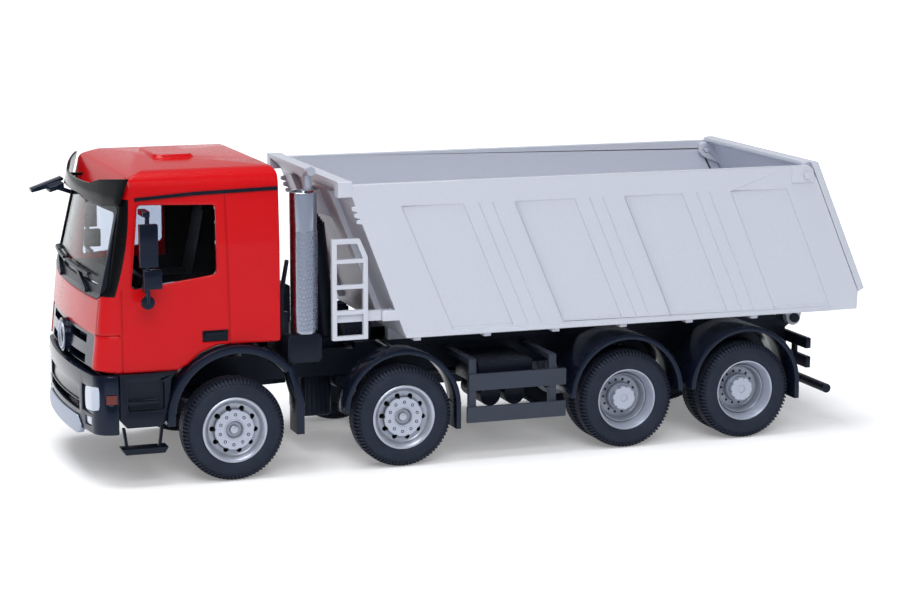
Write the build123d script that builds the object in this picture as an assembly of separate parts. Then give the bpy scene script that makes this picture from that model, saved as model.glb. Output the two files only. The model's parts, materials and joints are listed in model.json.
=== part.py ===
from build123d import *
import os
from math import atan2, cos, degrees, hypot, pi, radians, sin

# Four-axle dump truck, a plastic scale model at 1:87. Millimetres, +X forward, +Y left, +Z up.
# In this script x is measured from the first axle. save() moves each piece to the model's own
# origin, on the ground below the middle of its length.

# Driving dimensions
nose_x = 16.8            # foremost point of the bumper, ahead of the first axle
tail_x = -78.6           # rearmost point of the tailgate
shift_x = -(nose_x + tail_x) / 2
axle_x = {1: 0.0, 2: -19.8, 3: -47.6, 4: -63.0}
fit_gap = 0.05           # running clearance round pins
seat_gap = 0.04          # clearance where one moulding sits in another

# Wheels
tyre_r = 5.81
axle_z = tyre_r
rim_r = 3.74
pin_r = 0.75
front_tyre_y = (11.1, 14.45)
rear_tyres_y = ((11.1, 14.2), (7.8, 10.9))
hand_holes = 10
hand_hole_r = 0.3
hand_hole_ring = 2.65
wheel_facets = 28        # flats round a tyre or a rim

# Chassis frame
rail_y = 4.8             # outer face of a rail
rail_web = 0.45
rail_flange = 1.1
rail_flange_t = 0.5
rail_z = (9.2, 12.2)
frame_front_x = 12.4
frame_rear_x = -72.9
subframe_top = 12.9

# Body hinge at the rear end of the frame
hinge_x = -73.4
hinge_z = 12.7
hinge_boss_r = 0.95
hinge_pin_r = 0.5

# Dump body
body_y = 14.5            # outer face of a side wall
wall_t = 0.8
body_floor_z = 15.0      # underside at the side walls
floor_top_z = 16.6
rim_z = 32.7
front_foot_x = -20.0
front_top_x = -13.1
seam_foot = (-77.6, 17.1)
seam_slope = 0.4295      # the tailgate leans forward by this much for each mm of height
headboard_t = 0.9
panel_slope = 0.43
panel_first_x = -19.5    # upper front corner of the first recessed side panel
panel_pitch = 13.6
panel_w = 7.35
panel_z = (15.8, rim_z - 2.65)
panel_depth = 0.18
panel_count = 4
score_x = (3.0, 4.6)       # scored lines, behind the upper rear corner of each panel but the last
score_w = 0.16
score_depth = 0.12
ledge = 0.16             # the bottom edge of a side wall stands out by this much
lip_front = 1.1          # the headboard's lip reaches this far ahead of its top corner

# Tailgate and its hinge
gate_t = 1.0             # along x
gate_gap = 0.08
gate_z = (17.1, rim_z + 0.4)
gate_pin_x = -70.1
gate_pin_z = rim_z - 1.15
gate_pin_r = 0.3

# Telescopic cylinder
foot_x = -14.9
foot_z = 12.6
eye_x = -13.2
eye_z = rim_z - 3.7
foot_pin_r = 0.38
eye_bore_r = 0.4
stage_radii = ((1.30, 1.13), (1.08, 0.93), (0.88, 0.73), (0.68, 0.53), (0.48, 0.0))

# Front wheel arch
arch_centre = (-0.5, 7.25)
arch_r = 8.05
arch_clear = 0.1         # between the mudguard and the cab above it

# Cab
cab_y = 13.3
cab_wall = 0.6
cab_rear_x = -5.6
cab_bottom_z = 12.85
roof_z = 35.5
beltline_z = 21.6        # the front leans back more above this height
low_lean = -0.105
screen_lean = -0.232
cab_arch_z = arch_centre[1] + arch_r + arch_clear
skin = 0.12              # depth of a shut line
seam_w = 0.16
seal_proud = 0.05


def box(x0, x1, y0, y1, z0, z1):
    """Block between two corners."""
    return Pos((x0 + x1) / 2, (y0 + y1) / 2, (z0 + z1) / 2) * Box(abs(x1 - x0), abs(y1 - y0), abs(z1 - z0))


def both(shape):
    """The shape and its mirror image on the other side."""
    return shape + mirror(shape, about=Plane.XZ)


def pair(shape):
    """The shape and its mirror image as two separate solids."""
    return [shape, mirror(shape, about=Plane.XZ)]


def outline(points, radii=0):
    """Closed face through points, with its corners rounded."""
    if not isinstance(radii, (int, float)) or radii > 0:
        return make_face(FilletPolyline(*points, radius=radii, close=True))
    return make_face(Polyline(*points, close=True))


def from_side(face, y0, y1):
    """Face drawn in x and z, stretched from y0 to y1."""
    plane = Plane((0, y0, 0), x_dir=(1, 0, 0), z_dir=(0, -1, 0))
    return extrude(plane * face, amount=-(y1 - y0))


def from_front(face, x0, x1):
    """Face drawn in y and z, stretched from x0 to x1."""
    plane = Plane((x0, 0, 0), x_dir=(0, 1, 0), z_dir=(1, 0, 0))
    return extrude(plane * face, amount=x1 - x0)


def from_top(face, z0, z1):
    """Face drawn in x and y, stretched from z0 to z1."""
    return extrude(Pos(0, 0, z0) * face, amount=z1 - z0)


def rod_y(x, z, r, y0, y1):
    """Round bar along y."""
    return Pos(x, (y0 + y1) / 2, z) * Rot(90, 0, 0) * Cylinder(r, abs(y1 - y0))


def rod_x(x0, x1, y, z, r):
    """Round bar along x."""
    return Pos((x0 + x1) / 2, y, z) * Rot(0, 90, 0) * Cylinder(r, abs(x1 - x0))


def rod_z(x, y, z0, z1, r):
    """Upright round bar."""
    return Pos(x, y, (z0 + z1) / 2) * Cylinder(r, abs(z1 - z0))


def turned(points, x, z):
    """Solid of revolution about the axle at x, z, from points given as y and radius."""
    face = make_face(Polyline(*[(r, y) for y, r in points], close=True))
    solid = revolve(Plane((0, 0, 0), x_dir=(0, 0, 1), z_dir=(-1, 0, 0)) * face, axis=Axis.Y)
    return Pos(x, 0, z) * solid


def faceted(points, x, z):
    """Ring of flat facets about the axle at x, z, from points given as y and radius."""
    def corner(y, r, k):
        angle = 2 * pi * k / wheel_facets
        return (r * sin(angle), y, -r * cos(angle))
    faces = []
    for (y0, r0), (y1, r1) in zip(points, points[1:] + points[:1]):
        for k in range(wheel_facets):
            ring = [corner(y0, r0, k)]
            if r1 > 0:
                ring += [corner(y1, r1, k), corner(y1, r1, k + 1)]
            else:
                ring += [corner(y1, 0, k)]
            if r0 > 0:
                ring += [corner(y0, r0, k + 1)]
            if len(ring) > 2:
                faces.append(make_face(Polyline(*ring, close=True)))
    return Pos(x, 0, z) * Solid(Shell(faces))


def seam_x(z):
    """Rear edge of the side walls at height z."""
    return seam_foot[0] + (z - seam_foot[1]) * seam_slope


def front_x(z):
    """Front face of the headboard at height z."""
    return front_foot_x + (z - body_floor_z) * (front_top_x - front_foot_x) / (rim_z - body_floor_z)


def save(name, *shapes):
    """Writes one node, moved to the model's origin."""
    solids = []
    for shape in shapes:
        for item in (shape if isinstance(shape, list) else [shape]):
            solids += list(item.solids())
    placed = [Pos(shift_x, 0, 0) * solid for solid in solids]
    export_step(placed[0] if len(placed) == 1 else Compound(children=placed), f"parts/{name}.step")


# Wheels, tyres and pins
def tyre(y0, y1, x):
    bead = (rim_r + seat_gap) / cos(pi / wheel_facets)
    half = [(y0 + 0.1, bead), (y0, 4.7), (y0 + 0.35, 5.62), (y0 + 0.85, tyre_r)]
    return faceted(half + [(y0 + y1 - y, r) for y, r in reversed(half)], x, axle_z)


def hand_hole_cuts(x, y0, y1):
    hole = Rot(90, 0, 0) * extrude(RegularPolygon(hand_hole_r, 6), amount=(y1 - y0) / 2, both=True)
    middle = (y0 + y1) / 2
    return [Pos(x, middle, axle_z) * Rot(0, 360 / hand_holes * i, 0) * Pos(0, 0, -hand_hole_ring) * hole
            for i in range(hand_holes)]


def front_wheel(x):
    y0, y1 = front_tyre_y
    face = y1 - 0.1
    bore = pin_r + seat_gap
    profile = [(y0 + 0.2, rim_r), (face, rim_r), (face, 3.3), (face - 0.75, 2.98), (face - 0.25, 2.25),
               (face - 0.25, 1.1), (face + 0.15, 0.95), (face + 0.3, 0.4), (face + 0.3, 0), (face - 0.7, 0),
               (face - 0.7, bore), (y0 - 0.1, bore), (y0 - 0.1, 1.5), (face - 1.3, 1.5), (face - 1.3, 3.2),
               (y0 + 0.2, 3.2)]
    return faceted(profile, x, axle_z) - hand_hole_cuts(x, face - 2, face + 1)


def twin_wheel(x):
    (y0, y1), (y2, y3) = rear_tyres_y
    face = y1 - 0.3
    bore = pin_r + seat_gap
    profile = [(y2 + 0.1, rim_r), (y3 - 0.2, rim_r), (y3 - 0.1, 3.4), (y0 + 0.1, 3.4), (y0 + 0.2, rim_r),
               (face, rim_r), (face, 3.35), (y0 + 0.6, 3.0), (y0 + 0.75, 1.6), (face - 0.6, 1.35),
               (face - 0.75, 0.85), (face - 0.75, 0), (face - 1.2, 0), (face - 1.2, bore), (y2 - 0.2, bore),
               (y2 - 0.2, 1.7), (y3 - 0.4, 1.7), (y3 - 0.4, 2.9), (y2 + 0.1, 3.3)]
    return faceted(profile, x, axle_z) - hand_hole_cuts(x, y3 - 1, y0 + 1.2)


def make_axle(n):
    x = axle_x[n]
    if n < 3:
        wheel = front_wheel(x)
        tyres = pair(tyre(*front_tyre_y, x))
        end = front_tyre_y[1] - 0.85
    else:
        wheel = twin_wheel(x)
        tyres = [t for span in rear_tyres_y for t in pair(tyre(*span, x))]
        end = rear_tyres_y[0][1] - 1.55
    save(f"axle_{n}_pin", rod_y(x, axle_z, pin_r, -end, end))
    save(f"wheels_{n}", pair(wheel))
    save(f"tyres_{n}", tyres)


# Chassis
def make_frame():
    z0, z1 = rail_z
    inner = rail_y - rail_flange
    rail = box(frame_rear_x, frame_front_x, inner, rail_y, z0, z1)
    rail -= box(frame_rear_x - 1, frame_front_x + 1, inner - 1, rail_y - rail_web, z0 + rail_flange_t,
                z1 - rail_flange_t)
    boss = rod_y(hinge_x, hinge_z, hinge_boss_r, inner, rail_y)
    horn = outline([(frame_rear_x + 1.4, z0), (frame_rear_x + 1.4, z1), (hinge_x + 0.3, hinge_z + 0.9),
                    (hinge_x - 0.85, hinge_z - 0.4), (frame_rear_x, z1 - 0.9), (frame_rear_x, z0)])
    rail += boss + from_side(horn, inner, rail_y)
    rail -= rod_y(hinge_x, hinge_z, hinge_pin_r, 0, 8)
    rail += box(9.2, 11.2, inner, rail_y, z1 - 0.1, cab_bottom_z - seat_gap)
    rail += box(-5.2, -3.6, inner, rail_y, z1 - 0.1, cab_arch_z - seat_gap)
    save("chassis_frame", pair(rail))
    reach = rail_y - rail_web - seat_gap
    low, high = z0 + rail_flange_t + seat_gap, z1 - rail_flange_t - seat_gap
    member_x = (11.2, -18.0, -24.0, -31.0, -40.5, -55.3, -71.0)
    members = [box(x, x + 1.1, -reach, reach, low, high) for x in member_x]
    foot = box(foot_x - 1.6, foot_x + 1.6, -reach, reach, low, low + 1.2)
    foot -= box(foot_x - 2, foot_x + 2, -1.1, 1.1, 9, 10.25)
    lug = outline([(foot_x - 1.6, low), (foot_x - 1.6, z1), (foot_x - 0.6, foot_z + 0.5),
                   (foot_x + 0.6, foot_z + 0.5), (foot_x + 1.6, z1), (foot_x + 1.6, low)])
    foot += both(from_side(lug, 1.5, 2.1))
    foot -= rod_y(foot_x, foot_z, foot_pin_r + 0.01, -4, 4)
    save("cross_members", members, foot)
    bar = box(-71.6, -17.0, inner, rail_y, z1 + 0.03, subframe_top)
    save("tipper_subframe", pair(bar))
    body_pin = (rod_y(hinge_x, hinge_z, hinge_pin_r - 0.01, 3.4, 6.25)
                + rod_y(hinge_x, hinge_z, 0.58, 6.2, 6.5))
    save("hinge_pins", pair(body_pin), rod_y(foot_x, foot_z, foot_pin_r, -2.2, 2.2))


def make_running_gear():
    z0 = rail_z[0]
    beams = []
    for n in (1, 2):
        x = axle_x[n]
        beam = rod_y(x, axle_z, 1.3, -10.4, 10.4)
        for side in (1, -1):
            y0, y1 = (3.7, 4.9) if side > 0 else (-4.9, -3.7)
            leaf = outline([(x - 5.2, z0 - 0.15), (x - 5.2, z0 - 0.75), (x - 2.6, z0 - 1.75), (x, z0 - 2.3),
                            (x + 2.6, z0 - 1.75), (x + 5.2, z0 - 0.75), (x + 5.2, z0 - 0.15),
                            (x + 4.4, z0 - 0.15), (x + 2.6, z0 - 0.95), (x, z0 - 1.5), (x - 2.6, z0 - 0.95),
                            (x - 4.4, z0 - 0.15)])
            beam += from_side(leaf, y0, y1)
        beam -= rod_y(x, axle_z, pin_r + fit_gap, -11, 11)
        beams.append(beam)
    save("front_axle_beams", beams)
    housings = []
    for n in (3, 4):
        x = axle_x[n]
        housing = rod_y(x, axle_z, 1.35, -7.3, 7.3) + rod_x(x - 1.5, x + 1.5, 0, axle_z, 2.3)
        housing += rod_x(x - 2.5, x + 2.5, 0, axle_z, 1.3)
        housing -= rod_y(x, axle_z, pin_r + fit_gap, -8, 8)
        housings.append(housing)
    save("rear_axle_housings", housings)
    xm = (axle_x[3] + axle_x[4]) / 2
    reach = axle_x[3] - xm
    leaf = outline([(xm - reach - 1.2, 7.2), (xm - reach - 1.2, 7.7), (xm - 3, 8.7), (xm, z0 - 0.05),
                    (xm + 3, 8.7), (xm + reach + 1.2, 7.7), (xm + reach + 1.2, 7.2), (xm + 3, 7.8),
                    (xm, 7.6), (xm - 3, 7.8)])
    save("bogie_springs", pair(from_side(leaf, 3.7, 4.9)))
    engine = box(-3.6, 10.6, -2.9, 2.9, 7.4, 12.2)
    engine += from_top(outline([(-3.5, -2.4), (-3.5, 2.4), (-9.5, 1.5), (-9.5, -1.5)]), 8.0, 11.8)
    engine += rod_x(-11.4, -9.4, 0, 9.6, 0.9)
    save("engine_gearbox", engine)
    shaft = rod_x(-44.9, -11.45, 0, 0, 0.45)
    save("propeller_shaft", Pos(-28.475, 0, 8.0) * Rot(0, -5.6, 0) * Pos(28.475, 0, 0) * shaft)


def make_chassis_side():
    z0 = rail_z[0]
    tank_x = (-31.3, -34.3)
    save("air_tanks", [rod_y(x, 7.0, 1.25, rail_y + 0.1, 11.6) for x in tank_x])
    box_top = box(-36.2, -29.4, rail_y + 0.05, 12.6, 8.35, 11.2)
    save("battery_box", box_top)
    tank = outline([(-28.8, 5.2), (-38.4, 5.2), (-38.4, 11.2), (-28.8, 11.2)], 0.9)
    save("fuel_tank", from_side(tank, -12.8, -rail_y - 0.05))
    guard = box(-39.7, -27.7, 13.9, 14.3, 8.25, 10.2) + box(-39.7, -27.5, 13.9, 14.3, 4.5, 6.35)
    for x in (-28.7, -38.6):
        guard += box(x, x + 0.9, 13.3, 13.95, 4.6, 11.9)
        guard += box(x, x + 0.9, rail_y + 0.02, 13.95, 11.25, 11.9)
    save("side_guards", pair(guard))
    bars = box(frame_rear_x - 0.7, frame_rear_x - 0.05, -10.4, 10.4, 9.6, 10.9)
    bars += box(frame_rear_x - 0.7, frame_rear_x - 0.05, -10.4, 10.4, 7.2, 8.6)
    for y in (-7.4, -4.3, 3.4, 6.5):
        bars += box(frame_rear_x - 0.5, frame_rear_x - 0.05, y, y + 0.9, 7.6, 10.4)
    save("rear_light_bars", bars)
    under = rod_y(-74.95, 4.88, 0.55, -12.2, 12.2)
    bracket = outline([(-70.4, z0 - 0.02), (-69.0, z0 - 0.02), (-74.5, 4.4), (-75.3, 4.5), (-75.3, 5.0)])
    save("under_run_bar", under + both(from_side(bracket, 3.8, 4.7)))
    silencer = from_side(outline([(-6.4, 12.75), (-10.4, 12.75), (-10.4, 15.9), (-6.4, 15.9)], 0.5),
                         rail_y + 0.05, 13.5)
    brace = outline([(-6.95, 15.7), (-6.95, 18.3), (-6.4, 18.4), (-6.4, 20.5), (-7.05, 24.2), (-6.75, 24.2),
                     (-6.05, 20.5), (-6.05, 15.7)])
    save("silencer", silencer + from_side(brace, 11.2, 12.0))
    oil = outline([(-8.6, 9.5), (-12.0, 9.5), (-12.0, 18.5), (-8.6, 18.5)], 0.5)
    save("hydraulic_oil_tank", from_side(oil, -13.2, -rail_y - 0.05))


# Mudguards
def arch_band(xc, zc, r, t, a0, a1, y0, y1):
    """Part of a ring about xc, zc between two angles from +x, in degrees."""
    def at(radius, angle):
        return (xc + radius * cos(radians(angle)), zc + radius * sin(radians(angle)))
    am = (a0 + a1) / 2
    edges = ThreePointArc(at(r, a0), at(r, am), at(r, a1)) + Line(at(r, a1), at(r - t, a1))
    edges += ThreePointArc(at(r - t, a1), at(r - t, am), at(r - t, a0)) + Line(at(r - t, a0), at(r, a0))
    return from_side(make_face(edges), y0, y1)


def make_mudguards():
    xc, zc, r = arch_centre[0], arch_centre[1], arch_r
    arch = arch_band(xc, zc, r, 0.9, 6, 140, 11.2, 14.2)
    arch += box(xc + r - 0.9, xc + r, 11.2, 14.2, 6.7, zc + 1.0)
    flap = outline([(-6.1, 12.6), (-6.95, 12.6), (-8.1, 8.5), (-8.1, 4.7), (-7.2, 4.7), (-7.2, 8.6)])
    flap = from_side(flap, 11.2, 14.2)
    flap += box(-6.9, -6.2, rail_y + 0.02, 11.3, 11.6, 12.25)
    save("front_mudguards", pair(arch + flap))
    x = axle_x[2]
    zc = 6.6
    guard = arch_band(x, zc, 7.0, 0.6, 0, 178, 10.9, 14.2)
    guard += box(x - 7.0, x - 6.4, 10.9, 14.2, 3.9, zc + 0.3)
    guard += rod_y(x, zc + 6.2, 0.45, rail_y + 0.0, 11.3) - box(x - 1, x + 1, 0, rail_y + 0.02, 0, 20)
    save("second_mudguards", pair(guard))
    rear = []
    for n in (3, 4):
        x = axle_x[n]
        guard = arch_band(x, 6.45, 7.15, 0.6, 0, 180, 7.6, 14.2)
        guard += rod_y(x, 6.45 + 6.35, 0.45, rail_y + 0.02, 8.0)
        if n == 4:
            guard += box(x - 7.15, x - 6.55, 7.6, 14.2, 4.4, 6.5)
        rear += pair(guard)
    save("rear_mudguards", rear)


# Cab
def arch_point(x, gap):
    """Point over the front arch at x, a gap above the mudguard."""
    rise = ((arch_r + gap) ** 2 - (x - arch_centre[0]) ** 2) ** 0.5
    return (x, arch_centre[1] + rise)


side_points = [(cab_rear_x, cab_arch_z), (cab_rear_x, roof_z - 0.4), (7.2, roof_z + 0.05),
               (11.2, roof_z - 1.3), (12.9, roof_z - 3.7), (15.75, beltline_z), (16.2, 17.0), (16.2, 13.4),
               (12.4, cab_bottom_z), (arch_centre[0] + arch_r - 1.35, cab_bottom_z),
               arch_point(arch_centre[0] + 0.68 * arch_r, 0.2),
               arch_point(arch_centre[0] + 0.51 * arch_r, 0.37), (arch_centre[0] + 0.26 * arch_r, cab_arch_z)]
side_radii = [0.3, 1.2, 2.5, 1.0, 0.4, 0.8, 2.0, 0.4, 0, 0.3, 0.3, 0.3, 0.8]
plan_corner = 12.4
front_mid_x = 16.25


def cab_prism(z0, z1, x_shift, lean, inset):
    """Plan of the cab, leaning back as it rises."""
    a, b = 15.4 + x_shift, front_mid_x + x_shift
    edges = ThreePointArc((a, -12.3), (b, 0), (a, 12.3))
    edges += ThreePointArc((a, 12.3), (a - 0.75, 13.0), (a - 2.8, cab_y))
    edges += Polyline((a - 2.8, cab_y), (-20, cab_y), (-20, -cab_y), (a - 2.8, -cab_y))
    edges += ThreePointArc((a - 2.8, -cab_y), (a - 0.75, -13.0), (a, -12.3))
    face = make_face(edges)
    if inset:
        face = offset(face, -inset, kind=Kind.INTERSECTION)
    return extrude(Pos(0, 0, z0) * face, amount=(z1 - z0) * hypot(1, lean), dir=(lean, 0, 1))


def cab_volume(inset=0.0):
    """Outer form of the cab, or the same form a little smaller all round."""
    side = outline(side_points, side_radii)
    eaves = roof_z - 0.75
    front = outline([(-cab_y, 5), (-cab_y, 26.5), (-12.75, eaves), (0, roof_z), (12.75, eaves), (cab_y, 26.5),
                     (cab_y, 5)], [0, 6, 2.1, 30, 2.1, 6, 0])
    if inset:
        side = offset(side, -inset, kind=Kind.INTERSECTION)
        front = offset(front, -inset, kind=Kind.INTERSECTION)
    belt_shift = low_lean * (beltline_z - 12)
    low = cab_prism(12, beltline_z, 0, low_lean, inset)
    high = cab_prism(beltline_z, 37, belt_shift, screen_lean, inset)
    return from_side(side, -20, 20) & from_front(front, -10, 20) & (low + high)


side_window = [(1.6, 23.3), (1.6, roof_z - 4.5), (10.3, roof_z - 4.2), (11.2, 22.0)]
screen_opening = [(-12.9, 20.95), (-12.2, roof_z - 4.4), (12.2, roof_z - 4.4), (12.9, 20.95)]
screen_edge = [(-12.2, 22.4), (-11.55, roof_z - 5.1), (11.55, roof_z - 5.1), (12.2, 22.4)]


def side_prisms(inset):
    """Openings of the two side windows, or the panes that fit in them."""
    face = outline(side_window, 0.5)
    if inset:
        face = offset(face, -inset)
    return [from_side(face, 12.2, 15), from_side(face, -15, -12.2)]


def screen_prism(points, inset):
    """Opening through the raked front of the cab, of the outline given."""
    face = outline(points, [1.7, 0.7, 0.7, 1.7])
    if inset:
        face = offset(face, -inset)
    rake = outline([(13.2, 20), (11.0, roof_z - 4), (20, roof_z - 4), (20, 20)])
    return from_front(face, 10, 18) & from_side(rake, -14, 14)


grille_z = (13.0, 17.0)
grille_y = 11.5
handle_pocket = (0.35, 3.3, 15.75, 17.05)


def make_cab():
    shell = cab_volume() - cab_volume(cab_wall)
    shell -= screen_prism(screen_opening, 0)
    for prism in side_prisms(0):
        shell -= prism
    shell -= box(13.9, 18, -grille_y, grille_y, grille_z[0], grille_z[1])
    hatch = outline([(1.6, -4.4), (1.6, 4.4), (6.4, 4.4), (6.4, -4.4)], 1.0)
    shell += from_top(hatch, roof_z - 0.35, roof_z + 0.28) - cab_volume(cab_wall)
    core = cab_volume(skin)
    door = outline([(0.0, 12), (0.45, 32), (0.45 + seam_w, 32), (seam_w, 12)])
    seams = from_side(door, 12, 14) + box(12.2, 12.2 + seam_w, 12.9, 14, 12, 22)
    seams += box(14, 18, 11.9, 11.9 + seam_w, grille_z[1], 20.9)
    seams += box(12.3, 18, 11.9, 14, 17.0, 17.0 + seam_w)
    shell -= both(seams) - core
    x0, x1, z0, z1 = handle_pocket
    shell -= both(box(x0, x1, cab_y - 0.4, 15, z0, z1))
    save("cab_shell", shell)
    glass = core - cab_volume(0.48)
    panes = [screen_prism(screen_edge, seat_gap)] + side_prisms(seat_gap)
    save("cab_glazing", [glass & prism for prism in panes])
    seal = (cab_volume(-seal_proud) - cab_volume(0.5)) & screen_prism(screen_opening, seat_gap)
    seal -= screen_prism(screen_edge, 0)
    g = (cab_volume(0.06) - cab_volume(1.1)) & box(14.0, 18, -grille_y + seat_gap, grille_y - seat_gap,
                                                  grille_z[0] + seat_gap, grille_z[1] - seat_gap)
    for z in (13.45, 15.7):
        g -= both(box(13, 18, 2.2, 8.9, z, z + 0.95))
    g += rod_x(15.6, 16.35, 0, 15.1, 1.9) - rod_x(16.2, 17, 0, 15.1, 1.65)
    save("grille", g)
    handle = box(x0 + seat_gap, x1 - seat_gap, cab_y - 0.36, cab_y - 0.2, z0 + seat_gap, z1 - seat_gap)
    handle += box(x0 + 0.5, x1 - 0.3, cab_y - 0.3, cab_y + 0.1, z1 - 0.65, z1 - 0.25)
    z = roof_z - 3.15
    strip = outline([(-5.5, z), (-5.5, z + 0.38), (4.0, z + 0.16), (10.6, z - 0.26), (10.6, z - 0.6),
                     (4.0, z - 0.22)])
    strip = from_side(strip, 11.0, 14.0) & (cab_volume(-0.2) - cab_volume(-0.01))
    save("cab_trim", pair(handle), [s for solid in strip.solids() for s in pair(solid)], seal)


def make_interior():
    floor = cab_volume(cab_wall + 0.06) & box(-10, 13.8, -14, 14, 12, 17.2)
    floor -= cab_volume(cab_wall + 0.06) & box(-4.6, 13.6, -12.0, 12.0, 16.1, 18)
    tunnel = box(-4.7, 12.0, -3.2, 3.2, 16.0, 19.0)
    lining = cab_volume(cab_wall + 0.06) - cab_volume(cab_wall + 0.4)
    lining = lining & (box(-10, 1.3, -14, 14, 12, roof_z - 1.5) + box(0, 11.0, -14, 14, 12, 21.6))
    interior = floor + tunnel + lining
    for y in (-7.6, 7.6):
        interior += box(-1.6, 3.4, y - 2.5, y + 2.5, 16.0, 20.4)
        back = outline([(-1.9, 19.9), (0.0, 19.9), (-1.6, 27.8), (-3.1, 27.8)], 0.3)
        interior += from_side(back, y - 2.4, y + 2.4)
        head = outline([(-3.0, 27.6), (-1.7, 27.6), (-1.9, 29.6), (-3.0, 29.6)], 0.2)
        interior += from_side(head, y - 1.3, y + 1.3)
    dash = outline([(9.6, 17.1), (9.0, 20.6), (10.0, 21.7), (13.6, 21.8), (14.2, 17.1)], 0.2)
    interior += from_side(dash, -12.2, 12.2) & cab_volume(cab_wall + 0.06)
    ring = RegularPolygon(2.34, 24) - RegularPolygon(1.86, 24)
    wheel = extrude(ring, amount=0.2, both=True) + Cylinder(0.6, 0.5) + Box(4.0, 0.5, 0.25)
    column = Pos(0, 0, -1.2) * Cylinder(0.3, 2.4)
    interior += Pos(8.0, 7.6, 21.9) * Rot(0, -38, 0) * (wheel + column)
    save("cab_interior", interior)


def make_front():
    def bumper_plan(inset):
        edges = ThreePointArc((15.5, -12.2), (nose_x - 0.25, 0), (15.5, 12.2))
        edges += ThreePointArc((15.5, 12.2), (14.6, 13.5), (12.9, 13.8))
        edges += Polyline((12.9, 13.8), (12.9, -13.8))
        edges += ThreePointArc((12.9, -13.8), (14.6, -13.5), (15.5, -12.2))
        face = make_face(edges)
        return offset(face, -inset, kind=Kind.INTERSECTION) if inset else face

    top, bottom = cab_bottom_z - 0.15, 6.1
    body = from_top(bumper_plan(0), bottom, top)
    bumper = body - box(12, 14.3, -12.4, 12.4, bottom - 1, top + 1)
    bumper -= box(15.0, 18, -7.9, 7.9, 9.15, 10.75) & (body - from_top(bumper_plan(0.25), bottom, top))
    bumper -= box(15.0, 18, -7.9, 7.9, 8.0, 9.0)
    lenses = []
    for y0, y1, z0, z1 in ((8.9, 12.3, 8.3, 11.2), (9.9, 11.7, 6.9, 7.8)):
        cut = box(14.6, 18, y0, y1, z0, z1)
        bumper -= both(cut)
        lens = (from_top(bumper_plan(0.1), bottom, top)
                & box(14.7, 18, y0 + seat_gap, y1 - seat_gap, z0 + seat_gap, z1 - seat_gap))
        lenses += pair(lens)
    save("headlamps", lenses)
    cut = box(13.0, 14.3, 13.2, 15, 9.5, 10.6)
    bumper -= both(cut)
    lens = (from_top(bumper_plan(0.06), bottom, top)
            & box(13.0 + seat_gap, 14.3 - seat_gap, 13.2 + seat_gap, 15, 9.5 + seat_gap, 10.6 - seat_gap))
    save("marker_lamps", pair(lens))
    bumper += both(box(frame_front_x + 0.05, 14.5, 3.8, 4.7, 9.4, 12.0))
    save("bumper", bumper)
    low = outline([(-8.8, 6.0), (-7.6, 5.3), (7.6, 5.3), (8.8, 6.0), (8.8, 6.5), (7.6, 7.4), (-7.6, 7.4),
                   (-8.8, 6.5)])
    skid = from_top(bumper_plan(-0.25), 5.3, 7.4) & from_front(low, 14, 18)
    skid -= from_top(bumper_plan(-0.02), bottom - 0.02, 8)
    skid -= box(13, 15.6, -9, 9, 5, 8)
    save("skid_plate", skid)


def make_steps():
    step = outline([(12.75, 12.75), (12.75, 7.7), (12.0, 6.75), (8.2, 6.75), (7.3, 7.7), (7.0, 12.0),
                    (6.4, 12.75)])
    step = from_side(step, 10.6, 13.8)
    step -= from_side(outline([(7.8, 8.6), (7.8, 11.9), (11.85, 11.9), (11.85, 8.6)], 0.4), 13.1, 15)
    step += box(8.4, 11.85, 13.05, 13.6, 9.4, 9.7)
    step -= rod_y(*arch_centre, arch_r + seat_gap, 10, 15)
    step -= box(arch_centre[0], arch_centre[0] + arch_r + seat_gap, 10, 15, 5, arch_centre[1] + 1)
    save("step_boxes", pair(step))
    hanging = from_side(outline([(12.7, 4.5), (12.3, 3.85), (7.9, 3.85), (7.5, 4.5)]), 12.2, 14.2)
    for x0, x1 in ((11.95, 12.3), (8.35, 8.0)):
        strut = outline([(x0 - 0.17, 4.2), (x0 + 0.17, 4.2), (x1 + 0.17, 6.7), (x1 - 0.17, 6.7)])
        hanging += from_side(strut, 12.8, 13.3)
    save("hanging_steps", pair(hanging))


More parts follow.
